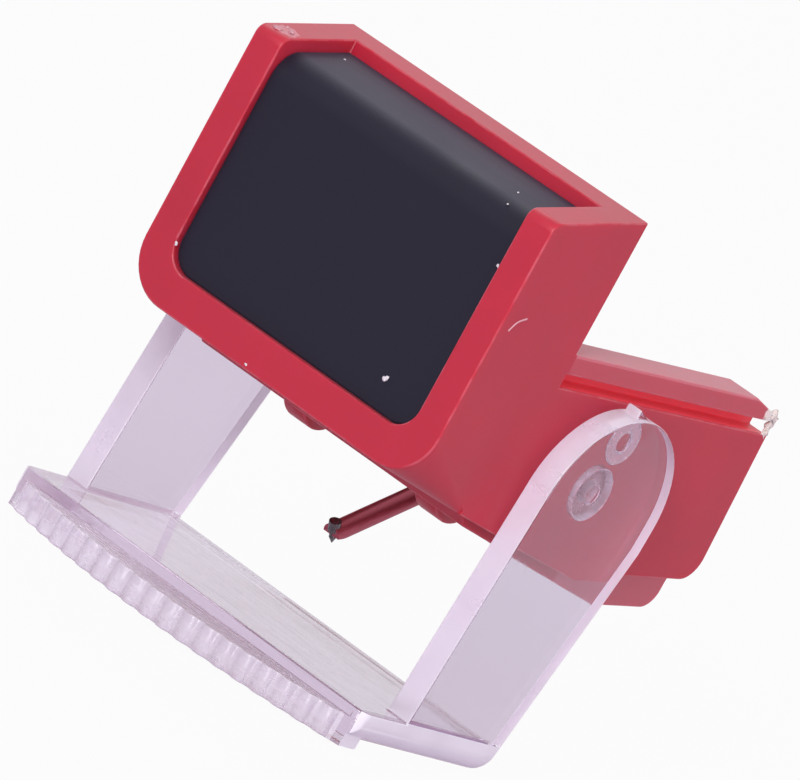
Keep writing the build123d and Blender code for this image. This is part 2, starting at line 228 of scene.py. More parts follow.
def moulded_red_abs(finish):
    """Injection-moulded red ABS, satin and a little see-through at its edges.

    The eye sees one strong red, slow flow shading across the walls, a fine orange peel,
    a painted glow of brighter red in the thin-walled grooves, a painted pale sheen on the rails and
    the rear of the pan, and pale stress marks where the plastic was snapped, chipped or rubbed.
    """
    material, tree, shader = new_material("moulded_red_abs")
    place = add(tree, "ShaderNodeTexCoord").outputs["Object"]
    flow = add(tree, "ShaderNodeTexNoise", {"Vector": place, "Scale": per_mm(4.0), "Detail": 2.0})
    red = add(tree, "ShaderNodeMix", {
        0: flow.outputs["Fac"],
        6: (*[c * 0.86 for c in finish.red], 1),
        7: (*[min(1, c * 1.1) for c in finish.red], 1),
    }, data_type="RGBA")
    sides = folded(tree, place)
    colour = red.outputs[2]
    for share, paint in (
        # Painted glow: brighter red in the shaded grooves, for light that comes through their thin walls.
        (zone(tree, sides, GROOVES, GROOVE_PAINTED_GLOW), finish.thin),
        (rubbed_edges(tree, place), finish.stress),
        # Painted sheen: the stress colour laid as a pale veil on the rail tops and sides and the rear of
        # the pan.
        (zone(tree, sides, RAIL_TOPS, RAIL_TOP_PAINTED_SHEEN), finish.stress),
        (zone(tree, sides, RAIL_SIDES, RAIL_SIDE_PAINTED_SHEEN), finish.stress),
        (zone(tree, sides, PAN_REAR, PAN_PAINTED_SHEEN), finish.stress),
        (broken_patch(tree, place, GATE_SCAR, reach=0.55, depth=0.45), finish.stress),
        (broken_patch(tree, place, CHIPPED_RAIL, reach=0.75, depth=1.0), finish.chip),
    ):
        colour = add(tree, "ShaderNodeMix", {
            0: share, 6: colour, 7: (*paint, 1),
        }, data_type="RGBA").outputs[2]
    gloss = add(tree, "ShaderNodeMapRange", {
        "Value": flow.outputs["Fac"], "To Min": 0.36, "To Max": 0.5,
    })
    peel = add(tree, "ShaderNodeTexNoise", {"Vector": place, "Scale": per_mm(0.16), "Detail": 3.0})
    bump = add(tree, "ShaderNodeBump", {
        "Strength": 0.12, "Distance": 0.02 * MM, "Height": peel.outputs["Fac"],
    })
    shader.inputs["IOR"].default_value = 1.52
    shader.inputs["Sheen Weight"].default_value = 0.07
    shader.inputs["Sheen Tint"].default_value = (*linear("FFEAF4"), 1)
    shader.inputs["Subsurface Weight"].default_value = 0.5
    shader.inputs["Subsurface Radius"].default_value = (1.0, 0.12, 0.1)
    shader.inputs["Subsurface Scale"].default_value = 0.7 * MM
    tree.links.new(colour, shader.inputs["Base Color"])
    tree.links.new(gloss.outputs["Result"], shader.inputs["Roughness"])
    tree.links.new(bump.outputs["Normal"], shader.inputs["Normal"])
    return material


def rubbed_edges(tree, place):
    """How pale each point is from rubbing: only on the rounded edges, in broken stretches."""
    edge = add(tree, "ShaderNodeAttribute", attribute_name="rubbed")
    breaks = add(tree, "ShaderNodeTexNoise", {"Vector": place, "Scale": per_mm(0.7), "Detail": 4.0})
    kept = add(tree, "ShaderNodeMapRange", {
        "Value": breaks.outputs["Fac"], "From Min": 0.38, "From Max": 0.62,
    })
    return add(tree, "ShaderNodeMath", {
        0: edge.outputs["Fac"], 1: kept.outputs["Result"],
    }, operation="MULTIPLY").outputs["Value"]


def folded(tree, place):
    """Each point's place, with the left half folded over onto the right."""
    axes = add(tree, "ShaderNodeSeparateXYZ", {"Vector": place}).outputs
    across = add(tree, "ShaderNodeMath", {0: axes["X"]}, operation="ABSOLUTE")
    return add(tree, "ShaderNodeCombineXYZ", {
        "X": across.outputs["Value"], "Y": axes["Y"], "Z": axes["Z"],
    }).outputs["Vector"]


def zone(tree, place, box, share):
    """The given share inside a box, and nothing outside it.

    Inside, the room left to the walls is positive along all three axes, so its signs add up to 3.
    """
    low, high = box
    off = add(tree, "ShaderNodeVectorMath", {0: place, 1: (low + high) / 2}, operation="SUBTRACT")
    away = add(tree, "ShaderNodeVectorMath", {0: off.outputs["Vector"]}, operation="ABSOLUTE")
    left = add(tree, "ShaderNodeVectorMath", {
        0: (high - low) / 2, 1: away.outputs["Vector"],
    }, operation="SUBTRACT")
    signs = add(tree, "ShaderNodeVectorMath", {0: left.outputs["Vector"]}, operation="SIGN")
    count = add(tree, "ShaderNodeVectorMath", {
        0: signs.outputs["Vector"], 1: (1, 1, 1),
    }, operation="DOT_PRODUCT")
    inside = add(tree, "ShaderNodeMath", {0: count.outputs["Value"], 1: 2.5}, operation="GREATER_THAN")
    return add(tree, "ShaderNodeMath", {
        0: inside.outputs["Value"], 1: share,
    }, operation="MULTIPLY").outputs["Value"]


def broken_patch(tree, place, spot, reach, depth):
    """A ragged patch around one spot where the plastic broke pale, with its reach in millimetres.

    Where the noise is middling, the patch is full to 0.75 of its reach and gone at 0.92.
    """
    away = add(tree, "ShaderNodeVectorMath", {0: place, 1: spot}, operation="DISTANCE")
    ragged = add(tree, "ShaderNodeTexNoise", {"Vector": place, "Scale": per_mm(0.3), "Detail": 4.0})
    wander = add(tree, "ShaderNodeMath", {
        0: ragged.outputs["Fac"], 1: -reach * MM, 2: away.outputs["Value"],
    }, operation="MULTIPLY_ADD")
    return add(tree, "ShaderNodeMapRange", {
        "Value": wander.outputs["Value"],
        "From Min": 0.42 * reach * MM, "From Max": 0.25 * reach * MM, "To Max": depth,
    }).outputs["Result"]


def moulded_black_abs(finish):
    """Black ABS moulded against a spark-eroded tool: even, matt, a touch blue in this light.

    The grain is about 0.05 mm in life, drawn at 0.1 mm so that it shows.
    """
    material, tree, shader = new_material("moulded_black_abs")
    place = add(tree, "ShaderNodeTexCoord").outputs["Object"]
    haze = add(tree, "ShaderNodeTexNoise", {"Vector": place, "Scale": per_mm(2.5), "Detail": 3.0})
    black = add(tree, "ShaderNodeMix", {
        0: haze.outputs["Fac"],
        6: (*[c * 0.8 for c in finish.black], 1),
        7: (*[c * 1.2 for c in finish.black], 1),
    }, data_type="RGBA")
    grain = add(tree, "ShaderNodeTexNoise", {"Vector": place, "Scale": per_mm(0.1), "Detail": 2.0})
    bump = add(tree, "ShaderNodeBump", {
        "Strength": 0.2, "Distance": 0.02 * MM, "Height": grain.outputs["Fac"],
    })
    dull = add(tree, "ShaderNodeMapRange", {
        "Value": haze.outputs["Fac"], "To Min": 0.5, "To Max": 0.62,
    })
    shader.inputs["IOR"].default_value = 1.5
    shader.inputs["Specular IOR Level"].default_value = 0.32
    shader.inputs["Sheen Weight"].default_value = 0.12
    shader.inputs["Sheen Tint"].default_value = (*linear("D8D4FF"), 1)
    tree.links.new(black.outputs[2], shader.inputs["Base Color"])
    tree.links.new(dull.outputs["Result"], shader.inputs["Roughness"])
    tree.links.new(bump.outputs["Normal"], shader.inputs["Normal"])
    return material


def clear_polystyrene(finish):
    """Clear moulded polystyrene, faintly lavender in its depth, with flow waves and fine rubs.

    Its broad faces were polished in the mould. Its narrow edges and the ribbed lip came out
    frosted, so they catch the light and read as pale bands.
    """
    material, tree, shader = new_material("clear_polystyrene")
    place = add(tree, "ShaderNodeTexCoord").outputs["Object"]
    waves = add(tree, "ShaderNodeTexNoise", {"Vector": place, "Scale": per_mm(2.2), "Detail": 1.0})
    along = add(tree, "ShaderNodeMapping", {
        "Vector": place, "Rotation": (0.0, 0.0, math.radians(12.0)), "Scale": (0.06, 1.0, 1.0),
    })
    rubs = add(tree, "ShaderNodeTexNoise", {
        "Vector": along.outputs["Vector"], "Scale": per_mm(0.22), "Detail": 1.0,
    })
    bump = add(tree, "ShaderNodeBump", {
        "Strength": 0.15, "Distance": 0.06 * MM, "Height": waves.outputs["Fac"],
    })
    scuffed = add(tree, "ShaderNodeMapRange", {
        "Value": rubs.outputs["Fac"], "From Min": 0.5, "From Max": 0.8,
        "To Min": 0.03, "To Max": 0.2,
    })
    frosted = add(tree, "ShaderNodeAttribute", attribute_name="frosted").outputs["Fac"]
    patchy = add(tree, "ShaderNodeTexNoise", {"Vector": place, "Scale": per_mm(1.4), "Detail": 1.0})
    uneven = add(tree, "ShaderNodeMapRange", {
        "Value": patchy.outputs["Fac"], "From Min": 0.2, "From Max": 0.8, "To Min": 0.8, "To Max": 1.0,
    })
    frost = add(tree, "ShaderNodeMath", {0: frosted, 1: uneven.outputs["Result"]}, operation="MULTIPLY")
    dull = add(tree, "ShaderNodeMath", {
        0: frost.outputs["Value"], 1: 0.5, 2: scuffed.outputs["Result"],
    }, operation="MULTIPLY_ADD")
    through = add(tree, "ShaderNodeMapRange", {
        "Value": frost.outputs["Value"], "To Min": 0.98, "To Max": finish.edge_clarity,
    })
    shader.inputs["Base Color"].default_value = (*finish.clear, 1)
    shader.inputs["IOR"].default_value = 1.57
    tree.links.new(through.outputs["Result"], shader.inputs["Transmission Weight"])
    tree.links.new(dull.outputs["Value"], shader.inputs["Roughness"])
    tree.links.new(bump.outputs["Normal"], shader.inputs["Normal"])
    passed = add(tree, "ShaderNodeBsdfTransparent")
    path = add(tree, "ShaderNodeLightPath")
    light = add(tree, "ShaderNodeMath", {
        0: path.outputs["Is Shadow Ray"], 1: path.outputs["Is Diffuse Ray"],
    }, operation="MAXIMUM")
    lit = add(tree, "ShaderNodeMath", {
        0: light.outputs["Value"], 1: through.outputs["Result"],
    }, operation="MULTIPLY")
    caught = add(tree, "ShaderNodeMath", {
        0: path.outputs["Ray Depth"], 1: CLEAR_BOUNCES,
    }, operation="GREATER_THAN")
    straight = add(tree, "ShaderNodeMath", {
        0: lit.outputs["Value"], 1: caught.outputs["Value"],
    }, operation="MAXIMUM")
    blend = add(tree, "ShaderNodeMixShader", {
        0: straight.outputs["Value"], 1: shader.outputs["BSDF"], 2: passed.outputs["BSDF"],
    })
    depth = add(tree, "ShaderNodeVolumeAbsorption", {
        "Color": (*finish.clear_depth, 1), "Density": CLEAR_DENSITY,
    })
    out = tree.nodes["Material Output"]
    tree.links.new(blend.outputs["Shader"], out.inputs["Surface"])
    tree.links.new(depth.outputs["Volume"], out.inputs["Volume"])
    return material


def drawn_aluminium(finish):
    """Thin drawn tube, dull, with fine lines along it and a painted reflection of the body's red."""
    material, tree, shader = new_material("drawn_aluminium")
    place = add(tree, "ShaderNodeTexCoord").outputs["Object"]
    along = add(tree, "ShaderNodeMapping", {
        "Vector": place, "Rotation": (STYLUS_LEAN, 0.0, 0.0), "Scale": (1.0, 0.04, 1.0),
    })
    lines = add(tree, "ShaderNodeTexNoise", {
        "Vector": along.outputs["Vector"], "Scale": per_mm(0.05), "Detail": 2.0,
    })
    # The tube's base colour holds a painted reflection of the red body around it.
    tone = add(tree, "ShaderNodeMix", {
        0: lines.outputs["Fac"],
        6: (*[c * 0.75 for c in finish.tube], 1),
        7: (*finish.tube, 1),
    }, data_type="RGBA")
    dull = add(tree, "ShaderNodeMapRange", {
        "Value": lines.outputs["Fac"], "To Min": 0.4, "To Max": 0.52,
    })
    shader.inputs["Metallic"].default_value = 1.0
    tree.links.new(tone.outputs[2], shader.inputs["Base Color"])
    tree.links.new(dull.outputs["Result"], shader.inputs["Roughness"])
    return material


def ground_diamond(finish):
    """A dark industrial diamond in black adhesive: near black, hard bright glints."""
    material, tree, shader = new_material("ground_diamond")
    place = add(tree, "ShaderNodeTexCoord").outputs["Object"]
    cloud = add(tree, "ShaderNodeTexNoise", {"Vector": place, "Scale": per_mm(0.12), "Detail": 2.0})
    tone = add(tree, "ShaderNodeMix", {
        0: cloud.outputs["Fac"], 6: (*linear("100C0E"), 1), 7: (*linear("3A3032"), 1),
    }, data_type="RGBA")
    shader.inputs["IOR"].default_value = 2.0
    shader.inputs["Roughness"].default_value = 0.12
    tree.links.new(tone.outputs[2], shader.inputs["Base Color"])
    return material


def turned_metal(name, colour, ring_step):
    """A small turned part: metal with the fine rings that the tool left.

    The rings are a wave that turns by one radian for each ring_step, in millimetres.
    """
    material, tree, shader = new_material(name)
    place = add(tree, "ShaderNodeTexCoord").outputs["Object"]
    turned = add(tree, "ShaderNodeMapping", {
        "Vector": place, "Rotation": (STYLUS_LEAN, 0.0, 0.0),
    })
    rings = add(tree, "ShaderNodeTexWave", {
        "Vector": turned.outputs["Vector"], "Scale": per_mm(ring_step) / WAVE_RATE, "Distortion": 0.6,
    }, bands_direction="Y")
    tone = add(tree, "ShaderNodeMix", {
        0: rings.outputs["Fac"],
        6: (*[c * 0.8 for c in linear(colour)], 1),
        7: (*linear(colour), 1),
    }, data_type="RGBA")
    dull = add(tree, "ShaderNodeMapRange", {
        "Value": rings.outputs["Fac"], "To Min": 0.22, "To Max": 0.34,
    })
    shader.inputs["Metallic"].default_value = 1.0
    tree.links.new(tone.outputs[2], shader.inputs["Base Color"])
    tree.links.new(dull.outputs["Result"], shader.inputs["Roughness"])
    return material


def damper_rubber():
    """Butyl rubber, black, dull and slightly dusty."""
    material, tree, shader = new_material("damper_rubber")
    place = add(tree, "ShaderNodeTexCoord").outputs["Object"]
    bloom = add(tree, "ShaderNodeTexNoise", {"Vector": place, "Scale": per_mm(0.25), "Detail": 3.0})
    tone = add(tree, "ShaderNodeMix", {
        0: bloom.outputs["Fac"], 6: (*linear("141314"), 1), 7: (*linear("2C2A2B"), 1),
    }, data_type="RGBA")
    shader.inputs["Roughness"].default_value = 0.75
    tree.links.new(tone.outputs[2], shader.inputs["Base Color"])
    return material


def torn_abs(name, colour):
    """Torn ABS: stress-whitened, rough and uneven."""
    material, tree, shader = new_material(name)
    place = add(tree, "ShaderNodeTexCoord").outputs["Object"]
    tears = add(tree, "ShaderNodeTexNoise", {"Vector": place, "Scale": per_mm(0.15), "Detail": 4.0})
    tone = add(tree, "ShaderNodeMix", {
        0: tears.outputs["Fac"], 6: (*[c * 0.72 for c in colour], 1), 7: (*colour, 1),
    }, data_type="RGBA")
    bump = add(tree, "ShaderNodeBump", {
        "Strength": 0.4, "Distance": 0.04 * MM, "Height": tears.outputs["Fac"],
    })
    shader.inputs["Roughness"].default_value = 0.6
    tree.links.new(tone.outputs[2], shader.inputs["Base Color"])
    tree.links.new(bump.outputs["Normal"], shader.inputs["Normal"])
    return material


def dust_fluff():
    """Household dust: pale, matt, uneven."""
    material, tree, shader = new_material("dust_fluff")
    place = add(tree, "ShaderNodeTexCoord").outputs["Object"]
    clump = add(tree, "ShaderNodeTexNoise", {"Vector": place, "Scale": per_mm(0.06), "Detail": 2.0})
    tone = add(tree, "ShaderNodeMix", {
        0: clump.outputs["Fac"], 6: (*linear("CFC8CC"), 1), 7: (*linear("F6F2F4"), 1),
    }, data_type="RGBA")
    shader.inputs["Roughness"].default_value = 0.9
    tree.links.new(tone.outputs[2], shader.inputs["Base Color"])
    return material


# Mesh work


def welded_shape(node):
    """A CAD node's surface as one closed mesh, with its flat areas joined into whole faces."""
    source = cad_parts[node].data
    shape = bmesh.new()
    corners = [shape.verts.new(v.co) for v in source.vertices]
    for polygon in source.polygons:
        shape.faces.new([corners[i] for i in polygon.vertices])
    bmesh.ops.remove_doubles(shape, verts=shape.verts, dist=WELD_REACH)
    bmesh.ops.dissolve_degenerate(shape, edges=shape.edges, dist=WELD_REACH)
    bmesh.ops.dissolve_limit(
        shape, angle_limit=FLAT_ANGLE, verts=shape.verts, edges=shape.edges,
    )
    return shape


def in_corner_run(edge):
    """Whether an edge of the body lies where a lower hood corner runs out into a cheek."""
    middle = (edge.verts[0].co + edge.verts[1].co) / 2
    along = CORNER_RUN[0] < middle.y < CORNER_RUN[1]
    return along and middle.z < CORNER_TOP and abs(middle.x) > CORNER_OUT


def in_lip_end(edge):
    """Whether an edge of the guard lies in the sliver at an end of its lip."""
    middle = (edge.verts[0].co + edge.verts[1].co) / 2
    return abs(middle.x) > LIP_END and middle.y < LIP_ROOT and middle.z < LIP_TOP


def round_edges(shape, width, segments, left_sharp=None):
    """Rounds sharp edges, as a mould's tool does, and returns the new faces."""
    sharp = []
    for edge in shape.edges:
        if len(edge.link_faces) != 2 or edge.calc_face_angle() < SHARP_ANGLE:
            continue
        if left_sharp and left_sharp(edge):
            edge.smooth = False
            continue
        sharp.append(edge)
    made = bmesh.ops.bevel(
        shape, geom=sharp, offset=width, offset_type="WIDTH", segments=segments,
        profile=0.5, affect="EDGES", clamp_overlap=False, loop_slide=False,
    )
    return made["faces"]


def stands_out(face):
    """Whether a face is on an outer edge, so that its neighbours fall away from it."""
    centre = face.calc_center_median()
    rise = 0.0
    for edge in face.edges:
        for other in edge.link_faces:
            if other != face:
                step = other.calc_center_median() - centre
                rise += step.normalized().dot(face.normal)
    return rise < 0


def edge_frost(face):
    """How frosted a face of the guard is: its arms' narrow edges, rings, floor ends and lip."""
    centre = face.calc_center_median()
    if centre.y < LIP_FRONT:
        return LIP_FROST
    if (centre - GUARD_FLOOR).dot(GUARD_UP) < 0:
        at_end = abs(face.normal.x) > END_FACING and abs(centre.x) > ARM_INNER
        return FULL_FROST if at_end else 0.0
    if abs(centre.x) > ARM_INNER - RING_PROUD:
        if abs(face.normal.x) > BROAD_FACING:
            return 0.0
        return FULL_FROST if face.normal.y > REAR_FACING else EDGE_FROST
    from_rings = [((centre - ring) * Vector((0, 1, 1))).length for ring in GUARD_RINGS]
    return RING_FROST if min(from_rings) < RING_REACH else 0.0


def piece_from(shape, name, material):
    """A new object at the origin from a finished shape, smooth over its small faces."""
    mesh = bpy.data.meshes.new(name)
    shape.to_mesh(mesh)
    shape.free()
    mesh.materials.append(material)
    mesh.shade_smooth()
    piece = bpy.data.objects.new(name, mesh)
    bpy.context.scene.collection.objects.link(piece)
    weighted = piece.modifiers.new("flat faces stay flat", "WEIGHTED_NORMAL")
    weighted.keep_sharp = True
    return piece


def crumb_tree():
    """Geometry Nodes: a lumpy flake on every point, laid on the surface that the point names."""
    tree = bpy.data.node_groups.new("crumbs on points", "GeometryNodeTree")
    tree.interface.new_socket("Points", in_out="INPUT", socket_type="NodeSocketGeometry")
    size = tree.interface.new_socket("Size", in_out="INPUT", socket_type="NodeSocketFloat")
    finish = tree.interface.new_socket("Finish", in_out="INPUT", socket_type="NodeSocketMaterial")
    tree.interface.new_socket("Crumbs", in_out="OUTPUT", socket_type="NodeSocketGeometry")
    given = add(tree, "NodeGroupInput").outputs
    ball = add(tree, "GeometryNodeMeshIcoSphere", {"Radius": 0.5, "Subdivisions": 3})
    lumps = add(tree, "ShaderNodeTexNoise", {"Scale": 2.2, "Detail": 2.0})
    push = add(tree, "ShaderNodeVectorMath", {
        0: lumps.outputs["Color"], 1: (-0.5, -0.5, -0.5),
    }, operation="ADD")
    lumpy = add(tree, "GeometryNodeSetPosition", {
        "Geometry": ball.outputs["Mesh"], "Offset": push.outputs["Vector"],
    })
    facing = add(tree, "GeometryNodeInputNamedAttribute", {"Name": "facing"}, data_type="FLOAT_VECTOR")
    laid = add(tree, "FunctionNodeAlignRotationToVector", {
        "Vector": facing.outputs["Attribute"],
    }, axis="Z")
    spin = add(tree, "FunctionNodeRandomValue", {
        "Min": 0.0, "Max": 2 * math.pi, "Seed": 11,
    }, data_type="FLOAT")
    turn = add(tree, "FunctionNodeAxisAngleToRotation", {
        "Axis": (0, 0, 1), "Angle": spin.outputs["Value"],
    })
    rotation = add(tree, "FunctionNodeRotateRotation", {
        "Rotation": laid.outputs["Rotation"], "Rotate By": turn.outputs["Rotation"],
    }, rotation_space="LOCAL")
    share = add(tree, "GeometryNodeInputNamedAttribute", {"Name": "share"}, data_type="FLOAT")
    wide = add(tree, "ShaderNodeMath", {
        0: share.outputs["Attribute"], 1: given["Size"],
    }, operation="MULTIPLY")
    flat = add(tree, "ShaderNodeVectorMath", {
        0: CRUMB_SHAPE, "Scale": wide.outputs["Value"],
    }, operation="SCALE")
    placed = add(tree, "GeometryNodeInstanceOnPoints", {
        "Points": given["Points"], "Instance": lumpy.outputs["Geometry"],
        "Rotation": rotation.outputs["Rotation"], "Scale": flat.outputs["Vector"],
    })
    real = add(tree, "GeometryNodeRealizeInstances", {"Geometry": placed.outputs["Instances"]})
    done = add(tree, "GeometryNodeSetMaterial", {
        "Geometry": real.outputs["Geometry"], "Material": given["Finish"],
    })
    add(tree, "NodeGroupOutput", {"Crumbs": done.outputs["Geometry"]})
    return tree, size.identifier, finish.identifier


def scratch_tree():
    """Geometry Nodes: a thin raised thread of plastic along a drawn line, thinner at its ends."""
    tree = bpy.data.node_groups.new("thread along line", "GeometryNodeTree")
    tree.interface.new_socket("Line", in_out="INPUT", socket_type="NodeSocketGeometry")
    size = tree.interface.new_socket("Size", in_out="INPUT", socket_type="NodeSocketFloat")
    finish = tree.interface.new_socket("Finish", in_out="INPUT", socket_type="NodeSocketMaterial")
    tree.interface.new_socket("Thread", in_out="OUTPUT", socket_type="NodeSocketGeometry")
    given = add(tree, "NodeGroupInput").outputs
    line = add(tree, "GeometryNodeMeshToCurve", {"Mesh": given["Line"]})
    smooth = add(tree, "GeometryNodeCurveSplineType", {
        "Curve": line.outputs["Curve"],
    }, spline_type="CATMULL_ROM")
    fine = add(tree, "GeometryNodeResampleCurve", {"Curve": smooth.outputs["Curve"], "Count": 24})
    along = add(tree, "GeometryNodeSplineParameter")
    arch = add(tree, "ShaderNodeMath", {0: along.outputs["Factor"], 1: math.pi}, operation="MULTIPLY")
    swell = add(tree, "ShaderNodeMath", {0: arch.outputs["Value"]}, operation="SINE")
    thick = add(tree, "ShaderNodeMath", {
        0: swell.outputs["Value"], 1: 0.6, 2: 0.4,
    }, operation="MULTIPLY_ADD")
    sized = add(tree, "GeometryNodeSetCurveRadius", {
        "Curve": fine.outputs["Curve"], "Radius": thick.outputs["Value"],
    })
    ring = add(tree, "GeometryNodeCurvePrimitiveCircle", {"Resolution": 8, "Radius": given["Size"]})
    swept = add(tree, "GeometryNodeCurveToMesh", {
        "Curve": sized.outputs["Curve"], "Profile Curve": ring.outputs["Curve"], "Fill Caps": True,
    })
    real = add(tree, "GeometryNodeRealizeInstances", {"Geometry": swept.outputs["Mesh"]})
    done = add(tree, "GeometryNodeSetMaterial", {
        "Geometry": real.outputs["Geometry"], "Material": given["Finish"],
    })
    add(tree, "NodeGroupOutput", {"Thread": done.outputs["Geometry"]})
    return tree, size.identifier, finish.identifier


def grown_piece(name, seed_mesh, grower, size, material):
    """Runs a Geometry Nodes tree on a seed mesh and keeps the result as a plain mesh."""
    tree, size_key, finish_key = grower
    piece = bpy.data.objects.new(name, seed_mesh)
    bpy.context.scene.collection.objects.link(piece)
    modifier = piece.modifiers.new("grow", "NODES")
    modifier.node_group = tree
    modifier[size_key] = size
    modifier[finish_key] = material
    evaluated = piece.evaluated_get(bpy.context.evaluated_depsgraph_get())
    mesh = bpy.data.meshes.new_from_object(evaluated)
    piece.modifiers.remove(modifier)
    piece.data = mesh
    mesh.name = name
    mesh.shade_smooth()
    if not mesh.polygons:
        raise RuntimeError(f"{name} grew no faces")
    return piece


def crumb_points(name, crumbs):
    """Loose points that carry which way the surface faces and how large each crumb is."""
    mesh = bpy.data.meshes.new(name)
    mesh.from_pydata([place for place, facing, share in crumbs], [], [])
    mesh.attributes.new("facing", "FLOAT_VECTOR", "POINT")
    mesh.attributes.new("share", "FLOAT", "POINT")
    for number, (place, facing, share) in enumerate(crumbs):
        mesh.attributes["facing"].data[number].vector = facing
        mesh.attributes["share"].data[number].value = share
    return mesh


def finish_node(node, material):
    """Gives a CAD node that keeps its own mesh a material."""
    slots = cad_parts[node].data.materials
    slots.clear()
    slots.append(material)


# Settings


class StylusFinish(bpy.types.PropertyGroup):
    """Colours and edge sizes of the stylus unit."""

    red: bpy.props.FloatVectorProperty(
        name="Body red", description="Colour of the moulded body",
        subtype="COLOR", size=3, min=0, max=1, default=linear("BC1A36"))
    # Also the colour of the painted sheen on the rail tops and sides and the rear of the pan.
    stress: bpy.props.FloatVectorProperty(
        name="Stress mark", description="Colour of red plastic that was rubbed or snapped",
        subtype="COLOR", size=3, min=0, max=1, default=linear("E3A9B2"))
    # Painted glow: this brighter red is painted into the grooves for light that comes through their thin
    # walls.
    thin: bpy.props.FloatVectorProperty(
        name="Thin wall", description="Colour of red plastic that is thin enough for light to come through",
        subtype="COLOR", size=3, min=0, max=1, default=linear("FA4458"))
    chip: bpy.props.FloatVectorProperty(
        name="Chipped end", description="Colour of the chipped end of the rail",
        subtype="COLOR", size=3, min=0, max=1, default=linear("F0E2DA"))
    black: bpy.props.FloatVectorProperty(
        name="Inlay black", description="Colour of the inlay in the hood",
        subtype="COLOR", size=3, min=0, max=1, default=linear("0E0C1F"))
    clear: bpy.props.FloatVectorProperty(
        name="Guard tint", description="Surface tint of the clear guard",
        subtype="COLOR", size=3, min=0, max=1, default=linear("F3EFF7"))
    clear_depth: bpy.props.FloatVectorProperty(
        name="Guard depth", description="Colour that the clear guard takes on where it is thick",
        subtype="COLOR", size=3, min=0, max=1, default=linear("D8C2DA"))
    edge_clarity: bpy.props.FloatProperty(
        name="Edge clarity", description="How much light the guard's frosted edges let through",
        subtype="FACTOR", min=0, max=1, default=0.0)
    # Painted reflection: this red tint of the metal stands for the body that the tube mirrors.
    tube: bpy.props.FloatVectorProperty(
        name="Cantilever metal", description="Colour of the thin tube that carries the tip",
        subtype="COLOR", size=3, min=0, max=1, default=linear("BB606E"))
    body_round: bpy.props.FloatProperty(
        name="Body edge round", description="Rounding of the body's moulded edges",
        unit="LENGTH", precision=6, min=0, default=0.09 * MM)
    inlay_round: bpy.props.FloatProperty(
        name="Inlay edge round", description="Rounding of the inlay's edges",
        unit="LENGTH", precision=6, min=0, default=0.08 * MM)
    guard_round: bpy.props.FloatProperty(
        name="Guard edge round", description="Rounding of the clear guard's edges",
        unit="LENGTH", precision=6, min=0, default=0.1 * MM)
    dust_size: bpy.props.FloatProperty(
        name="Dust size", description="Width of the larger dust flakes",
        unit="LENGTH", precision=6, min=0, default=0.3 * MM)
    crumb_size: bpy.props.FloatProperty(
        name="Crumb size", description="Width of the torn crumbs at the gate scar",
        unit="LENGTH", precision=6, min=0, default=0.34 * MM)
    chip_size: bpy.props.FloatProperty(
        name="Chip size", description="Width of the pale chips at the end of the rail",
        unit="LENGTH", precision=6, min=0, default=0.55 * MM)
    scratch_size: bpy.props.FloatProperty(
        name="Scratch size", description="Half the width of the scratch on the right wall",
        unit="LENGTH", precision=6, min=0, default=0.035 * MM)


class StylusStage(bpy.types.PropertyGroup):
    """Floor, light and camera."""

    floor: bpy.props.FloatVectorProperty(
        name="Floor", description="Colour of the floor",
        subtype="COLOR", size=3, min=0, max=1, default=linear("CAB8CE"))
    room: bpy.props.FloatVectorProperty(
        name="Room", description="Colour of the even light from all sides",
        subtype="COLOR", size=3, min=0, max=1, default=linear("F3EFFA"))
    ambient: bpy.props.FloatProperty(
        name="Room light", description="Strength of the even light from all sides",
        min=0, default=0.57)
    key: bpy.props.FloatProperty(
        name="Key lamp", description="Power of the large lamp in front and above",
        unit="POWER", min=0, default=0.68)
    low: bpy.props.FloatProperty(
        name="Low lamp", description="Power of the lamp in front that reaches under the hood",
        unit="POWER", min=0, default=0.2)
    side: bpy.props.FloatProperty(
        name="Side lamp", description="Power of the weak lamp at the right",
        unit="POWER", min=0, default=0.3)
    overhead: bpy.props.FloatProperty(
        name="Overhead lamp", description="Power of the large lamp above, behind and to the left",
        unit="POWER", min=0, default=0.2)
    azimuth: bpy.props.FloatProperty(
        name="Azimuth", description="How far round to the right the camera stands",
        unit="ROTATION", default=math.radians(32.214))
    elevation: bpy.props.FloatProperty(
        name="Elevation", description="How far above level the camera stands",
        unit="ROTATION", default=math.radians(10.439))
    roll: bpy.props.FloatProperty(
        name="Roll", description="How far the camera leans over",
        unit="ROTATION", default=math.radians(28.636))
    distance: bpy.props.FloatProperty(
        name="Distance", description="From the camera to the point it looks at",
        unit="LENGTH", default=326.76 * MM)
    target: bpy.props.FloatVectorProperty(
        name="Looks at", description="The point in the middle of the picture",
        subtype="TRANSLATION", unit="LENGTH", size=3,
        default=(1.638 * MM, 0.033 * MM, -4.545 * MM))
    lens: bpy.props.FloatProperty(
        name="Lens", description="Focal length on a 36 mm sensor",
        unit="CAMERA", default=425.62)


# Pieces


class STYLUS_OT_red_body(bpy.types.Operator):
    """Rounds the moulded edges of the red body and gives it its plastic"""

    bl_idname = "stylus.red_body"
    bl_label = "Red Body"

    def execute(self, context):
        finish = context.scene.stylus_finish
        shape = welded_shape("stylus_body")
        rounded = round_edges(shape, finish.body_round, 2, in_corner_run)
        rear = CAD_BOX[1][1] - REAR_REACH
        rubbed = shape.loops.layers.float_color.new("rubbed")
        edges = set(rounded)
        for face in shape.faces:
            amount = 0.0
            if face in edges and stands_out(face):
                amount = REAR_RUB if face.calc_center_median().y > rear else EDGE_RUB
            for loop in face.loops:
                loop[rubbed] = (amount, amount, amount, 1)
        piece = piece_from(shape, "red_body", moulded_red_abs(finish))
        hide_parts("stylus_body")
        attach(piece, "grip")
        return {"FINISHED"}


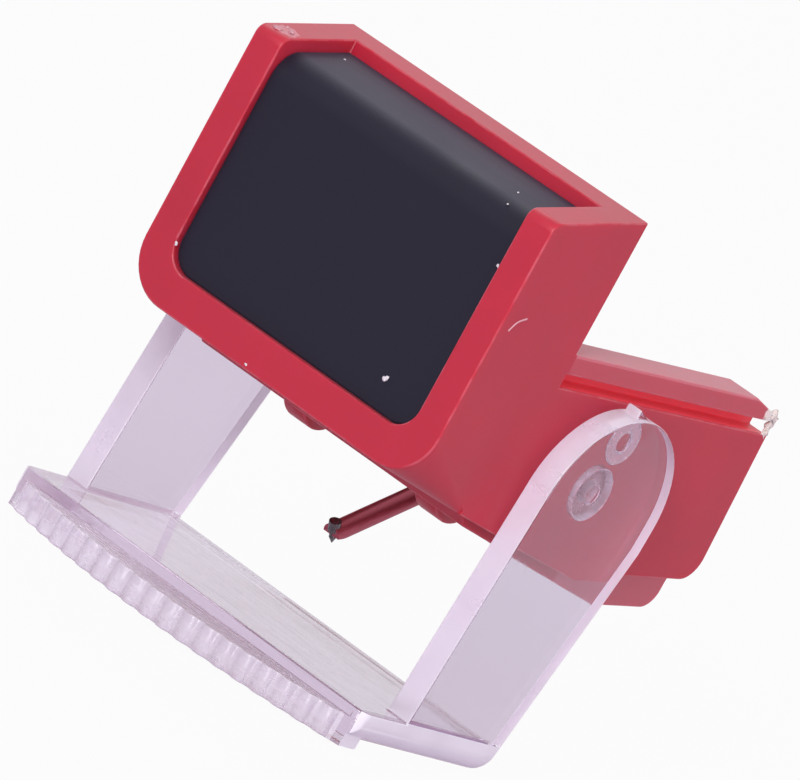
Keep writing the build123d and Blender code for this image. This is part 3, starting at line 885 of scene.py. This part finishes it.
class STYLUS_OT_black_inlay(bpy.types.Operator):
    """Rounds the inlay's edges and gives it its matt black plastic"""

    bl_idname = "stylus.black_inlay"
    bl_label = "Black Inlay"

    def execute(self, context):
        finish = context.scene.stylus_finish
        shape = welded_shape("front_inlay")
        round_edges(shape, finish.inlay_round, 2)
        piece = piece_from(shape, "black_inlay", moulded_black_abs(finish))
        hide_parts("front_inlay")
        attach(piece, "grip")
        return {"FINISHED"}


class STYLUS_OT_clear_guard(bpy.types.Operator):
    """Rounds the edges of the swinging guard and makes it clear plastic"""

    bl_idname = "stylus.clear_guard"
    bl_label = "Clear Guard"

    def execute(self, context):
        finish = context.scene.stylus_finish
        shape = welded_shape("stylus_guard")
        round_edges(shape, finish.guard_round, 2, in_lip_end)
        everything = [*shape.verts, *shape.edges, *shape.faces]
        bmesh.ops.bisect_plane(shape, geom=everything, plane_co=GUARD_FLOOR, plane_no=GUARD_UP)
        frosted = shape.loops.layers.float_color.new("frosted")
        for face in shape.faces:
            amount = edge_frost(face)
            for loop in face.loops:
                loop[frosted] = (amount, amount, amount, 1)
        piece = piece_from(shape, "clear_guard", clear_polystyrene(finish))
        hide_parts("stylus_guard")
        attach(piece, "guard")
        return {"FINISHED"}


class STYLUS_OT_cantilever(bpy.types.Operator):
    """Finishes the cantilever tube and the diamond at its end"""

    bl_idname = "stylus.cantilever"
    bl_label = "Cantilever and Tip"

    def execute(self, context):
        finish = context.scene.stylus_finish
        finish_node("cantilever_tube", drawn_aluminium(finish))
        finish_node("stylus_tip", ground_diamond(finish))
        return {"FINISHED"}


class STYLUS_OT_suspension(bpy.types.Operator):
    """Finishes the sleeve, plug, rubber ring, magnet and tie wire"""

    bl_idname = "stylus.suspension"
    bl_label = "Suspension"

    def execute(self, context):
        brass = turned_metal("turned_brass", "C9A45C", ring_step=0.08)
        finish_node("suspension_sleeve", brass)
        finish_node("sleeve_plug", brass)
        finish_node("damper_ring", damper_rubber())
        finish_node("armature_magnet", turned_metal("sintered_magnet", "77777C", ring_step=0.12))
        finish_node("tie_wire", turned_metal("drawn_spring_steel", "B4B6BA", ring_step=0.05))
        return {"FINISHED"}


class STYLUS_OT_marks(bpy.types.Operator):
    """Adds the dust, the torn crumbs at the gate, the chips on the rail and the scratch"""

    bl_idname = "stylus.marks"
    bl_label = "Dust and Marks"

    def execute(self, context):
        finish = context.scene.stylus_finish
        crumbs = crumb_tree()
        torn = torn_abs("torn_red_abs", finish.stress)
        chipped = torn_abs("chipped_abs", finish.chip)
        line = bpy.data.meshes.new("scratch line")
        line.from_pydata(SCRATCH, [(0, 1), (1, 2)], [])
        marks = (
            ("dust_flakes", crumb_points("dust", DUST), crumbs, finish.dust_size, dust_fluff()),
            ("gate_crumbs", crumb_points("gate", GATE_CRUMBS), crumbs, finish.crumb_size, torn),
            ("rail_chips", crumb_points("rail", RAIL_CHIPS), crumbs, finish.chip_size, chipped),
            ("wall_scratch", line, scratch_tree(), finish.scratch_size, torn),
        )
        for mark in marks:
            piece = grown_piece(*mark)
            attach(piece, "grip")
        return {"FINISHED"}


class STYLUS_OT_stage(bpy.types.Operator):
    """Sets out the floor, the soft light and the camera"""

    bl_idname = "stylus.stage"
    bl_label = "Stage"

    def execute(self, context):
        stage = context.scene.stylus_stage
        context.scene.view_settings.view_transform = "Standard"
        lay_floor(stage)
        light_room(stage)
        hang_lamp("key lamp", stage.key, *KEY_LAMP)
        hang_lamp("low lamp", stage.low, *LOW_LAMP)
        hang_lamp("side lamp", stage.side, *SIDE_LAMP)
        hang_lamp("overhead lamp", stage.overhead, *UPPER_LAMP)
        set_camera(stage)
        return {"FINISHED"}


def lay_floor(stage):
    """A wide plain floor under the guard, white to the camera, with a trace of the object's shadow."""
    shape = bmesh.new()
    bmesh.ops.create_grid(shape, x_segments=8, y_segments=8, size=FLOOR_HALF)
    bmesh.ops.translate(shape, verts=shape.verts, vec=(0, 0, FLOOR_LEVEL - FLOOR_GAP))
    mesh = bpy.data.meshes.new("floor")
    shape.to_mesh(mesh)
    shape.free()
    material, tree, shader = new_material("matt_pale_card")
    shader.inputs["Base Color"].default_value = (*stage.floor, 1)
    shader.inputs["Roughness"].default_value = 0.9
    glow = add(tree, "ShaderNodeEmission", {"Color": (1, 1, 1, 1), "Strength": 1.0})
    blend = add(tree, "ShaderNodeMixShader", {
        0: seen_directly(tree, *FLOOR_WHITE), 1: shader.outputs["BSDF"], 2: glow.outputs["Emission"],
    })
    tree.links.new(blend.outputs["Shader"], tree.nodes["Material Output"].inputs["Surface"])
    mesh.materials.append(material)
    floor = bpy.data.objects.new("floor", mesh)
    bpy.context.scene.collection.objects.link(floor)


def seen_directly(tree, camera, mirror, clear):
    """The share that a ray takes if it comes from the camera, from a mirror or through clear plastic."""
    path = add(tree, "ShaderNodeLightPath")
    through = add(tree, "ShaderNodeMath", {
        0: path.outputs["Is Transmission Ray"], 1: clear,
    }, operation="MULTIPLY")
    mirrored = add(tree, "ShaderNodeMath", {
        0: path.outputs["Is Glossy Ray"], 1: mirror, 2: through.outputs["Value"],
    }, operation="MULTIPLY_ADD")
    return add(tree, "ShaderNodeMath", {
        0: path.outputs["Is Camera Ray"], 1: camera, 2: mirrored.outputs["Value"],
    }, operation="MULTIPLY_ADD", use_clamp=True).outputs["Value"]


def light_room(stage):
    """Even light from all sides, with a white surround for the camera, mirrors and clear plastic."""
    world = bpy.data.worlds.new("white_room")
    world.use_nodes = True
    tree = world.node_tree
    tree.nodes.clear()
    even = add(tree, "ShaderNodeBackground", {"Color": (*stage.room, 1), "Strength": stage.ambient})
    white = add(tree, "ShaderNodeBackground", {"Color": (1, 1, 1, 1), "Strength": 1.0})
    blend = add(tree, "ShaderNodeMixShader", {
        0: seen_directly(tree, *ROOM_WHITE), 1: even.outputs["Background"], 2: white.outputs["Background"],
    })
    add(tree, "ShaderNodeOutputWorld", {"Surface": blend.outputs["Shader"]})
    bpy.context.scene.world = world


def hang_lamp(name, power, size, place):
    """A square soft lamp that faces the origin, at the rear of the hood."""
    lamp = bpy.data.lights.new(name, "AREA")
    lamp.energy = power
    lamp.size = size
    holder = bpy.data.objects.new(name, lamp)
    facing = place.to_track_quat("Z", "Y").to_matrix().to_4x4()
    holder.matrix_world = Matrix.Translation(place) @ facing
    bpy.context.scene.collection.objects.link(holder)


def set_camera(stage):
    """The camera at the photograph's angle: round to the right, a little above, leaning over."""
    around, above = stage.azimuth, stage.elevation
    back = Vector((
        math.sin(around) * math.cos(above), -math.cos(around) * math.cos(above), math.sin(above),
    ))
    level = Vector((math.cos(around), math.sin(around), 0))
    upright = back.cross(level)
    right = level * math.cos(stage.roll) + upright * math.sin(stage.roll)
    up = upright * math.cos(stage.roll) - level * math.sin(stage.roll)
    eye = Vector(stage.target) + back * stage.distance
    camera = bpy.data.cameras.new("camera")
    camera.lens = stage.lens
    camera.sensor_width = 36.0
    camera.clip_start = 0.01
    holder = bpy.data.objects.new("camera", camera)
    turn = Matrix((right, up, back)).transposed().to_4x4()
    holder.matrix_world = Matrix.Translation(eye) @ turn
    bpy.context.scene.collection.objects.link(holder)
    bpy.context.scene.camera = holder


class STYLUS_PT_sidebar(bpy.types.Panel):
    """Settings and pieces of the stylus unit"""

    bl_label = "Stylus Unit"
    bl_idname = "STYLUS_PT_sidebar"
    bl_space_type = "VIEW_3D"
    bl_region_type = "UI"
    bl_category = "Stylus"

    def draw(self, context):
        for settings in (context.scene.stylus_finish, context.scene.stylus_stage):
            box = self.layout.box()
            for name in settings.__annotations__:
                box.prop(settings, name)
        for piece in PIECES:
            self.layout.operator(piece.bl_idname)


PIECES = (
    STYLUS_OT_stage,
    STYLUS_OT_red_body,
    STYLUS_OT_black_inlay,
    STYLUS_OT_clear_guard,
    STYLUS_OT_cantilever,
    STYLUS_OT_suspension,
    STYLUS_OT_marks,
)
CLASSES = (StylusFinish, StylusStage, *PIECES, STYLUS_PT_sidebar)


def register():
    for item in CLASSES:
        bpy.utils.register_class(item)
    bpy.types.Scene.stylus_finish = bpy.props.PointerProperty(type=StylusFinish)
    bpy.types.Scene.stylus_stage = bpy.props.PointerProperty(type=StylusStage)


def unregister():
    del bpy.types.Scene.stylus_stage
    del bpy.types.Scene.stylus_finish
    for item in reversed(CLASSES):
        bpy.utils.unregister_class(item)


def main():
    register()
    bpy.ops.stylus.stage()
    bpy.ops.stylus.red_body()
    bpy.ops.stylus.black_inlay()
    bpy.ops.stylus.clear_guard()
    bpy.ops.stylus.cantilever()
    bpy.ops.stylus.suspension()
    bpy.ops.stylus.marks()


if __name__ == "__main__":
    main()
